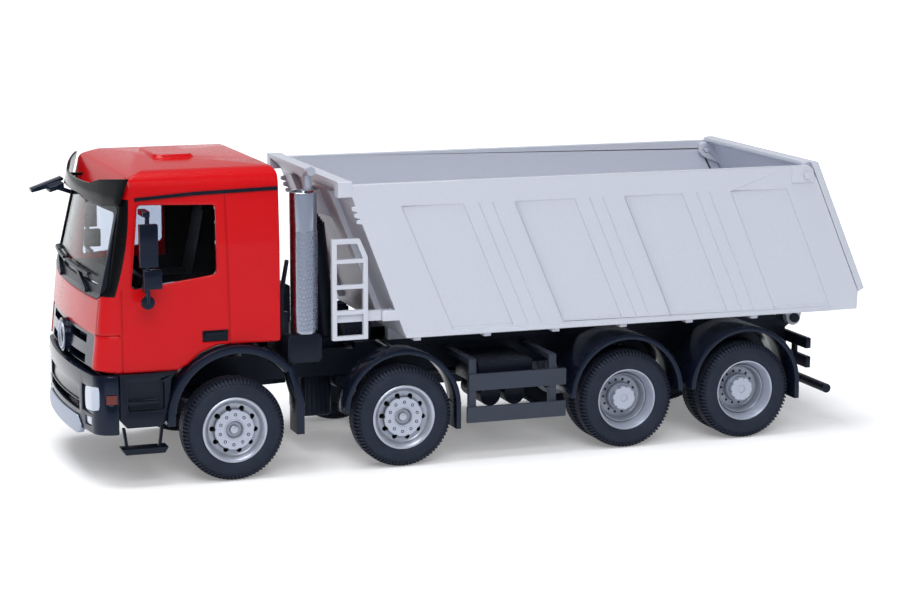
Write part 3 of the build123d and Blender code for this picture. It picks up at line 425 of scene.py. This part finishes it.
def brick(name, centre, size, turn=(0, 0, 0)):
    """Block of a size round a centre, both in mm."""
    bpy.ops.mesh.primitive_cube_add(size=1, location=[c * mm for c in centre])
    piece = start(name)
    piece.scale = [s * mm for s in size]
    piece.rotation_euler = turn
    bpy.ops.object.transform_apply(location=True, rotation=True, scale=True)
    return piece


def drill(piece, cutter):
    """Cuts one closed shape out of a piece with a boolean modifier."""
    modify(piece, "BOOLEAN", operation="DIFFERENCE", solver="EXACT", object=cutter)
    bpy.data.objects.remove(cutter)


# %% [markdown]
# Rounded edges. No edge of a moulding is quite sharp, and it is the thin highlight along each edge that
# makes a small model look moulded. The frame's nodes have sharp edges, so the ones that show most are
# copied, their loose triangles merged, and a bevel modifier rounds every edge sharper than thirty
# degrees.

# %% Rounded copies of CAD nodes
body_of = {node: body for body, parts in frame["record"]["behaviour"]["bodies"].items() for node in parts}


def flat_copy(node):
    """Copy of a CAD node with its loose triangles merged."""
    piece = bpy.data.objects.new(f"moulded_{node}", nodes[node].data.copy())
    bpy.context.scene.collection.objects.link(piece)
    edit_all(piece)
    bpy.ops.mesh.customdata_custom_splitnormals_clear()
    bpy.ops.mesh.remove_doubles(threshold=0.0005 * mm)
    bpy.ops.object.mode_set(mode="OBJECT")
    return piece


def round_edges(piece, width_mm, segments=2):
    """Rounds every edge sharper than thirty degrees with a bevel modifier."""
    modify(piece, "BEVEL", width=width_mm * mm, segments=segments, limit_method="ANGLE",
           angle_limit=radians(30), use_clamp_overlap=False)


def stand_in(piece, node):
    """Lets a finished copy take the place of its CAD node."""
    settle(piece, nodes[node].data.materials[0])
    smooth(piece, 32)
    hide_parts(node)
    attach(piece, body_of[node])


edge_width = {"tailgate": 0.08, "ladder": 0.07, "mirrors": 0.08, "sun_visor": 0.06, "bumper": 0.12,
              "step_boxes": 0.1, "hanging_steps": 0.05, "front_mudguards": 0.1, "second_mudguards": 0.1,
              "rear_mudguards": 0.1, "side_guards": 0.09, "skid_plate": 0.12, "silencer": 0.1,
              "battery_box": 0.12, "rear_light_bars": 0.09}
for node, width in edge_width.items():
    piece = flat_copy(node)
    round_edges(piece, width)
    stand_in(piece, node)
    print(piece.name, "faces:", len(piece.data.polygons))

# %% [markdown]
# Cab. The hatch is a low panel with sloping sides. In the copy of the cab shell its top comes down and
# shrinks. The soft corners of the roof are left to the red plastic's own shading.

# %% Cab
hatch_z, hatch_x, hatch_drop, hatch_slope = 35.7, 34.9, 0.14, 0.25
cab_copy = flat_copy("cab_shell")
for vertex in cab_copy.data.vertices:
    if vertex.co.z > hatch_z * mm:
        vertex.co.z -= hatch_drop * mm
        vertex.co.x += (hatch_slope if vertex.co.x < hatch_x * mm else -hatch_slope) * mm
        vertex.co.y -= (hatch_slope if vertex.co.y > 0 else -hatch_slope) * mm
stand_in(cab_copy, "cab_shell")
print("cab faces:", len(cab_copy.data.polygons))

# %% [markdown]
# Load body. Its side walls have four sunken panels each, and between them two thin scored lines. The
# copy's scored lines move forward, a scored line is cut along each panel's front edge, and the edges
# are rounded last.

# %% Load body
panel_x, panel_step, panel_wide, panel_high, panel_low, panel_lean = 11.4, 13.6, 7.35, 30.05, 15.8, 0.43
wall_skin_y = 14.3
scored_lines = ((2.9, 3.3, 1.25), (4.5, 4.9, 1.2))
score_y, score_wide, score_deep = 14.55, 0.13, 0.34
body_copy = flat_copy("dump_body")
moved = 0
for vertex in body_copy.data.vertices:
    x, y, z = vertex.co / mm
    if abs(y) < wall_skin_y or not panel_low - 0.01 < z < panel_high + 0.01:
        continue
    back = (panel_x - (x + panel_lean * (panel_high - z))) % panel_step - panel_wide
    for low, high, forward in scored_lines:
        if low < back < high:
            vertex.co.x += forward * mm
            moved += 1
print("scored line points moved:", moved)
lean = atan2(panel_lean, 1)
for i in range(4):
    for side_of_body in (-1, 1):
        x = panel_x - i * panel_step - panel_lean * (panel_high - panel_low) / 2
        score = brick("panel_score", (x, side_of_body * score_y, (panel_high + panel_low) / 2),
                      (score_wide, score_deep, (panel_high - panel_low) / cos(lean)), (0, lean, 0))
        drill(body_copy, score)
round_edges(body_copy, 0.06, 1)
stand_in(body_copy, "dump_body")
print("load body faces:", len(body_copy.data.polygons))

# %% [markdown]
# Floor and light. The truck stands on a sheet of white paper in a light tent: a large soft lamp above
# it, another over the camera, and paper all round. The lens sees the paper as plain white, so the floor
# glows a little for the camera and for reflections, more so far away, where the lamps hardly reach.
# Mirror-like pieces also see the dark room behind the camera, a darker floor on that side and a darker
# ceiling, which gives chrome its contrast and keeps black plastic black.

# %% Floor and light
floor_white = bpy.data.materials.new("pale_floor_paper")
floor_white.use_nodes = True
bpy.ops.mesh.primitive_plane_add(size=8.0, location=(0, 0, 0))
floor = start("floor")
floor_shader = floor_white.node_tree.nodes["Principled BSDF"]
floor_shader.inputs["Base Color"].default_value = linear("f4f4f6")
floor_shader.inputs["Roughness"].default_value = 0.9
floor_shader.inputs["Specular IOR Level"].default_value = 0.1
floor_shader.inputs["Emission Color"].default_value = (1, 1, 1, 1)
floor.data.materials.append(floor_white)
path = add_node(floor_white, "ShaderNodeLightPath").outputs
seen = maths(floor_white, "MAXIMUM", path["Is Camera Ray"], path["Is Glossy Ray"])
seen = maths(floor_white, "MAXIMUM", seen, path["Is Transmission Ray"])
spot = add_node(floor_white, "ShaderNodeTexCoord").outputs["Object"]
away = add_node(floor_white, "ShaderNodeVectorMath", {"operation": "LENGTH"}, {0: spot})
glow = remap(floor_white, away.outputs["Value"], 0.07, 0.4, 0.2, 0.75)
glow = maths(floor_white, "MULTIPLY", glow, seen)
near_lens = add_node(floor_white, "ShaderNodeSeparateXYZ", links={"Vector": spot}).outputs["Y"]
near_lens = remap(floor_white, near_lens, -0.02, 0.08, 0.0, 0.9)
dimmed = maths(floor_white, "MULTIPLY", near_lens, path["Is Glossy Ray"])
glow = maths(floor_white, "MULTIPLY", glow, maths(floor_white, "SUBTRACT", 1.0, dimmed))
link(floor_white, glow, floor_shader.inputs["Emission Strength"])
two_tone(floor_white, floor_shader, dimmed, "f4f4f6", "8f94a2")

world = bpy.data.worlds.new("studio")
bpy.context.scene.world = world
world.use_nodes = True
sky = world.node_tree.nodes["Background"]
sky.inputs["Color"].default_value = (0.94, 0.97, 1.0, 1)
soft_light, shown_white = 0.42, 1.05
path = add_node(world, "ShaderNodeLightPath").outputs
side = add_node(world, "ShaderNodeSeparateXYZ",
                links={"Vector": add_node(world, "ShaderNodeTexCoord").outputs["Generated"]}).outputs
room = maths(world, "MULTIPLY", remap(world, side["Y"], -0.6, 0.2, 0.7, 0.08),
             remap(world, side["Z"], 0.16, 0.34, 1.0, 0.35))
mirrored = add_node(world, "ShaderNodeMix", {"data_type": "FLOAT"}, {0: path["Is Glossy Ray"], 3: room})
mirrored.inputs[2].default_value = soft_light
direct = maths(world, "MAXIMUM", path["Is Camera Ray"], path["Is Transmission Ray"])
shown = add_node(world, "ShaderNodeMix", {"data_type": "FLOAT"}, {0: direct, 2: mirrored.outputs[0]})
shown.inputs[3].default_value = shown_white
link(world, shown.outputs[0], sky.inputs["Strength"])


def softbox(name, place, aim, width, height, power):
    """Area lamp at place, aimed at a point, in metres and watts."""
    bpy.ops.object.light_add(type="AREA", location=place)
    lamp = bpy.context.object
    lamp.name = name
    lamp.data.shape = "RECTANGLE"
    lamp.data.size = width
    lamp.data.size_y = height
    lamp.data.energy = power
    direction = Vector(aim) - Vector(place)
    lamp.rotation_euler = direction.to_track_quat("-Z", "Y").to_euler()


softbox("top_softbox", (0.1, 0.0, 0.5), (0, 0, 0), 0.35, 0.3, 1.75)
softbox("front_softbox", (0.12, 0.45, 0.36), (0, 0, 0.02), 0.3, 0.3, 1.6)
bpy.context.scene.view_settings.view_transform = "Standard"

# %% [markdown]
# Tyres. Vinyl truck tyres with a rounded shoulder and eighty tread blocks on each edge. One tyre is
# turned ring by ring, and the blocks are grown outwards from every other field of its shoulders.

# %% Tyres
tyre_r, rim_r = 5.81, 3.74
axle_z = 5.81
axle_x = {1: 30.9, 2: 11.1, 3: -16.7, 4: -32.1}
lug_count = 80
lug_r, lug_from, lug_to = 5.3, 0.2, 1.0
tread_depth = 0.2


def make_tyre(name, y0, y1):
    """One tyre between y0 and y1, its blocks standing out to the full radius."""
    base_r = tyre_r - tread_depth
    width = y1 - y0
    half = [(0.22, rim_r - 0.06), (0.05, 3.95), (0.0, 4.35), (0.04, 4.8), (0.16, 5.2), (0.36, 5.46),
            (0.46, base_r - 0.08), (0.95, base_r), (1.25, base_r)]
    profile = [(y0 + y, r) for y, r in half] + [(y1 - y, r) for y, r in reversed(half)]
    piece = lathe(name, profile, lug_count * 2)
    pick_faces(piece)
    step = 2 * pi / (lug_count * 2)
    for face in piece.data.polygons:
        centre = face.center
        r = (centre.x ** 2 + centre.z ** 2) ** 0.5 / mm
        y = centre.y / mm
        k = int((atan2(centre.z, centre.x) % (2 * pi)) / step)
        edge = min(y - y0, y1 - y)
        on_shoulder = lug_r < r and lug_from < edge < lug_to
        middle = edge > lug_to and r > 5.0
        face.select = (on_shoulder and (k + (y > (y0 + y1) / 2)) % 2 == 0) or middle
    bpy.ops.object.mode_set(mode="EDIT")
    bpy.ops.mesh.extrude_region_shrink_fatten(TRANSFORM_OT_shrink_fatten={"value": tread_depth * mm})
    bpy.ops.object.mode_set(mode="OBJECT")
    print(name, "width", round(width, 2), "faces", len(piece.data.polygons))
    return piece


def both_ends(master, n):
    """Copies of a master on the left and the right end of axle n."""
    place = Matrix.Translation((axle_x[n] * mm, 0, axle_z * mm))
    return [copy_of(master, f"{master.name}_left", place),
            copy_of(master, f"{master.name}_right", place @ Matrix.Scale(-1, 4, (0, 1, 0)), flip=True)]


front_tyre = make_tyre("front_tyre_master", 11.1, 14.45)
outer_tyre = make_tyre("outer_tyre_master", 11.1, 14.2)
inner_tyre = make_tyre("inner_tyre_master", 7.8, 10.9)
for n in axle_x:
    made = both_ends(front_tyre, n) if n < 3 else both_ends(outer_tyre, n) + both_ends(inner_tyre, n)
    tyres = join(f"treaded_tyres_{n}", made)
    settle(tyres, tyre_vinyl)
    smooth(tyres, 30)
    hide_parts(f"tyres_{n}")
    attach(tyres, f"axle_{n}")
for master in (front_tyre, outer_tyre, inner_tyre):
    bpy.data.objects.remove(master)

# %% [markdown]
# Wheels. Each wheel is moulded in one piece. The front ones show a flat disc in front of a deep channel,
# ten round hand holes that bite into the disc's edge, ten nuts and a sunken hub cap. On the rear axles
# the disc sits deep in a flared dish, with a hub that stands out of it. A lathe grows the round form ring
# by ring, a boolean modifier drills what repeats, and the nuts are one small cylinder, copied round.

# %% Drilling and spreading round an axle
def on_disc(index, count, first):
    """Turn about the Y axis that brings the top to place index of count, in degrees clockwise."""
    return Matrix.Rotation(-radians(first + 360 / count * index), 4, "Y")


def stud(name, radius, y0, y1, ring, sides=12):
    """Round bar along Y at the top of a ring of holes, in mm."""
    bpy.ops.mesh.primitive_cylinder_add(vertices=sides, radius=radius * mm, depth=(y1 - y0) * mm,
                                        location=(0, (y0 + y1) / 2 * mm, ring * mm),
                                        rotation=(pi / 2, 0, 0))
    piece = start(name)
    bpy.ops.object.transform_apply(location=True, rotation=True, scale=True)
    return piece


def spread(piece, count, first):
    """Copies of piece all round the axle, joined."""
    name = piece.name
    ring = [copy_of(piece, f"{name}_{i}", on_disc(i, count, first)) for i in range(count)]
    bpy.data.objects.remove(piece)
    return join(name, ring)


# %% Front wheel
front_profile = [
    (14.0, 0.4), (13.97, 0.46), (13.78, 0.5), (13.78, 0.84), (13.86, 0.92), (14.1, 0.98), (14.17, 1.03),
    (14.17, 1.1), (14.1, 1.14), (14.1, 2.22), (14.02, 2.3), (13.7, 2.33), (13.62, 2.4), (13.62, 2.86),
    (13.66, 2.98), (13.8, 3.1), (14.1, 3.28), (14.25, 3.36), (14.36, 3.47), (14.38, 3.6), (14.33, 3.7),
    (14.2, 3.74), (11.3, 3.74), (11.3, 3.2), (12.0, 3.2), (12.0, 1.5), (11.0, 1.5), (11.0, 0.79),
    (13.65, 0.79)]
front_wheel = lathe("front_wheel_master", front_profile, 90, "capped")
drill(front_wheel, spread(stud("hand_hole", 0.3, 12.4, 14.6, 2.48, 16), 10, -14))
drill(front_wheel, spread(stud("nut_well", 0.19, 13.8, 14.5, 1.7), 10, 4))
front_nuts = spread(stud("front_nuts", 0.11, 13.7, 14.1, 1.7, 6), 10, 4)
front_wheel = join("front_wheel_master", [front_wheel, front_nuts])
print("front wheel faces:", len(front_wheel.data.polygons))

# %% Twin wheel
twin_profile = [
    (13.04, 0.42), (13.1, 0.46), (13.1, 1.35), (13.0, 1.43), (12.5, 1.46), (12.5, 1.56), (12.42, 1.62),
    (11.6, 1.66), (11.5, 1.76), (11.5, 2.36), (11.52, 2.46), (11.62, 2.58), (11.9, 2.68), (12.3, 2.76),
    (12.62, 2.8), (12.68, 2.86), (12.66, 2.93), (12.58, 2.96), (12.62, 3.02), (12.8, 3.1), (13.8, 3.43),
    (13.9, 3.5), (13.92, 3.6), (13.87, 3.7), (13.75, 3.74), (11.3, 3.74), (11.2, 3.4), (10.8, 3.4),
    (10.7, 3.74), (7.9, 3.74), (7.9, 3.3), (10.5, 2.9), (10.5, 1.7), (7.6, 1.7), (7.6, 0.79),
    (12.7, 0.79)]
twin_wheel = lathe("twin_wheel_master", twin_profile, 90, "capped")
drill(twin_wheel, spread(stud("disc_hole", 0.16, 11.2, 11.9, 1.98, 10), 14, -12))
drill(twin_wheel, spread(stud("hub_notch", 0.16, 12.8, 13.4, 1.42, 10), 10, 10))
hub_nuts = spread(stud("hub_nuts", 0.09, 12.7, 13.0, 1.36, 8), 10, 10)
twin_wheel = join("twin_wheel_master", [twin_wheel, hub_nuts])
print("twin wheel faces:", len(twin_wheel.data.polygons))

# %% Wheels on their axles
for n in axle_x:
    wheels = join(f"moulded_wheels_{n}", both_ends(front_wheel if n < 3 else twin_wheel, n))
    settle(wheels, wheel_silver)
    smooth(wheels, 35)
    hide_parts(f"wheels_{n}")
    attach(wheels, f"axle_{n}")
for master in (front_wheel, twin_wheel):
    bpy.data.objects.remove(master)

# %% [markdown]
# Brake drums. Behind each front wheel a black drum closes its back, and it turns with the wheel. Its
# form is guessed.

# %% Brake drums
for n in (1, 2):
    drum = lathe("brake_drum", [(11.22, 0.8), (11.22, 3.68), (11.26, 3.73), (11.31, 3.73), (11.31, 3.15),
                                (11.9, 3.1), (11.9, 0.8)], 60)
    drums = join(f"brake_drums_{n}", both_ends(drum, n))
    bpy.data.objects.remove(drum)
    settle(drums, black_abs)
    smooth(drums, 35)
    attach(drums, f"axle_{n}")

# %% [markdown]
# Valve blocks. Something dark fills the room under the foot of the load body. Its form is guessed: two
# blocks with ribs and ports, one on each side of the cylinder, which swings between them.

# %% Valve blocks
block_x = 13.9
block_pieces = []
for side_of_truck in (1, -1):
    block_pieces.append(brick("valve_block", (block_x, side_of_truck * 4.3, 14.5), (3.4, 2.6, 2.6)))
    for i in range(3):
        rib = brick("valve_rib", (block_x, side_of_truck * (3.4 + 0.9 * i), 15.9), (3.0, 0.4, 0.4))
        bpy.ops.mesh.primitive_cylinder_add(vertices=20, radius=0.32 * mm, depth=0.5 * mm,
                                            rotation=(pi / 2, 0, 0),
                                            location=((block_x - 1 + i) * mm, side_of_truck * 5.7 * mm,
                                                      14.4 * mm))
        block_pieces += [rib, start("valve_port")]
block = join("valve_blocks", block_pieces)
round_edges(block, 0.08)
settle(block, black_abs)
smooth(block, 35)
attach(block, "truck")

# %% [markdown]
# Transfer box. Something dark also hangs under the frame between the front axles. Its form is guessed,
# after the ribbed box that drives the axles of such a truck.

# %% Transfer box
box_x, box_z = 18.0, 6.6
box = brick("transfer_box", (box_x, 0, box_z), (3.6, 6.0, 5.2))
round_edges(box, 0.5, 4)
ribs = [brick(f"box_rib_{i}", (box_x - 1.2 + 0.6 * i, 0, box_z), (0.2, 6.3, 4.4)) for i in range(5)]
box = join("transfer_box", [box] + ribs)
settle(box, black_abs)
smooth(box, 35)
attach(box, "truck")

# %% [markdown]
# Perforated shield. A curved sheet of plated plastic stands round the stack, so that nobody touches the
# hot pipe. Its small holes are drawn as fields about a quarter of a millimetre across. The lathe grows a
# tube of short rings, the faces outside the sheet's span and one field in four go, and a solidify
# modifier gives what is left its thickness.

# %% Perforated shield
stack_x, stack_y = 22.2, 12.0
shield_r, shield_low, hole_pitch = 1.6, 16.3, 0.255
rows, field_turn = 44, 8
sheet_from, sheet_to = 48, 168
holes_from, holes_to = 56, 160


def upright(piece):
    """Stands a turned part on end, where the exhaust stack is."""
    place = Matrix.Translation((stack_x * mm, stack_y * mm, 0))
    piece.data.transform(place @ Matrix.Rotation(pi / 2, 4, "X"))


shield = lathe("perforated_shield", [(shield_low + hole_pitch * i, shield_r) for i in range(rows + 1)],
               360 // field_turn, "open")
upright(shield)
pick_faces(shield)
for face in shield.data.polygons:
    around = degrees(atan2(face.center.y / mm - stack_y, face.center.x / mm - stack_x))
    column, row = int(around // field_turn), int((face.center.z / mm - shield_low) // hole_pitch)
    inside = holes_from < around < holes_to and 0 < row < rows - 1
    hole = inside and row % 2 == 1 and (column + row // 2) % 2 == 0
    face.select = hole or not sheet_from < around < sheet_to
bpy.ops.object.mode_set(mode="EDIT")
bpy.ops.mesh.delete(type="FACE")
bpy.ops.object.mode_set(mode="OBJECT")
thicken(shield, 0.11)
print("shield faces:", len(shield.data.polygons))
settle(shield, chrome_plate)
smooth(shield, 40)
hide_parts("exhaust_shield")
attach(shield, "truck")

# %% [markdown]
# Exhaust stack. A plated pipe with a rolled rim, hollow at the top, a little wider than its clamp.

# %% Exhaust stack
stack = lathe("exhaust_pipe", [(31.2, 1.3), (31.82, 1.34), (31.9, 1.4), (31.9, 1.48), (31.84, 1.55),
                               (28.4, 1.55), (28.3, 1.53), (16.1, 1.53), (15.96, 1.5), (15.96, 0.6)],
              64, "capped")
upright(stack)
settle(stack, chrome_plate)
smooth(stack, 40)
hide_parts("exhaust_stack")
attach(stack, "truck")

# %% [markdown]
# Front of the cab. A plain round boss sits in the grille. The headlamps wrap round the bumper's corners:
# each is a grid laid on the bumper's curve, its corners drawn in, and thickened. A black bezel of the
# same kind lies under it.

# %% Round boss
boss = lathe("front_boss", [(0.0, 1.0), (0.1, 1.34), (0.24, 1.4), (0.3, 1.48), (0.3, 1.56), (0.22, 1.62),
                            (0.0, 1.62)], 64, "capped")
boss_x, boss_z = 47.12, 15.1
boss.data.transform(Matrix.Translation((boss_x * mm, 0, boss_z * mm)) @ Matrix.Rotation(-pi / 2, 4, "Z"))
settle(boss, wheel_silver)
smooth(boss, 40)
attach(boss, "truck")

# %% Lamps
nose_x, corner_y, corner_x = 47.0, 12.2, 46.4
corner_centre, corner_r, corner_from = (44.308, 11.71), 2.149, 13.2


def on_bumper(s, proud):
    """Point of the bumper's plan, s mm from the middle, and proud mm in front of it."""
    if s <= corner_y:
        return nose_x - (nose_x - corner_x) * (s / corner_y) ** 2 + proud, s
    turn = radians(corner_from) + (s - corner_y) / corner_r
    reach = corner_r + proud
    return corner_centre[0] + reach * cos(turn), corner_centre[1] + reach * sin(turn)


def plate_on_bumper(name, span, low, high, proud, thickness, finish):
    """Plate with round corners on both ends of the bumper. low and high are its z at span's ends."""
    sides = []
    for side_of_cab in (1, -1):
        bpy.ops.mesh.primitive_grid_add(x_subdivisions=14, y_subdivisions=12, size=2)
        plate = start(name)
        for vertex in plate.data.vertices:
            u, v = vertex.co.x, vertex.co.y
            u, v = u * (1 - v ** 4 / 7) ** 0.5, v * (1 - u ** 4 / 7) ** 0.5
            t = (u + 1) / 2
            bottom, top = low[0] + t * (low[1] - low[0]), high[0] + t * (high[1] - high[0])
            x, y = on_bumper(span[0] + t * (span[1] - span[0]), proud - 0.05 * (u * u + v * v))
            vertex.co = Vector((x, side_of_cab * y, bottom + (v + 1) / 2 * (top - bottom))) * mm
        edit_all(plate)
        if side_of_cab < 0:
            bpy.ops.mesh.flip_normals()
        bpy.ops.object.mode_set(mode="OBJECT")
        thicken(plate, thickness)
        sides.append(plate)
    piece = join(name, sides)
    settle(piece, finish)
    smooth(piece, 40)
    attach(piece, "truck")
    return piece


plate_on_bumper("lamp_bezels", (8.6, 13.75), (7.95, 8.4), (11.4, 11.8), 0.02, 0.5, gloss_black_abs)
lens = plate_on_bumper("headlamp_lenses", (9.7, 13.4), (8.5, 8.85), (11.1, 11.55), 0.12, 0.3, lamp_lens)
fog = plate_on_bumper("fog_lenses", (9.9, 11.9), (6.95, 7.05), (7.85, 7.95), 0.06, 0.3, lamp_lens)
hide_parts("headlamps")
print("lamp faces:", len(lens.data.polygons) + len(fog.data.polygons))
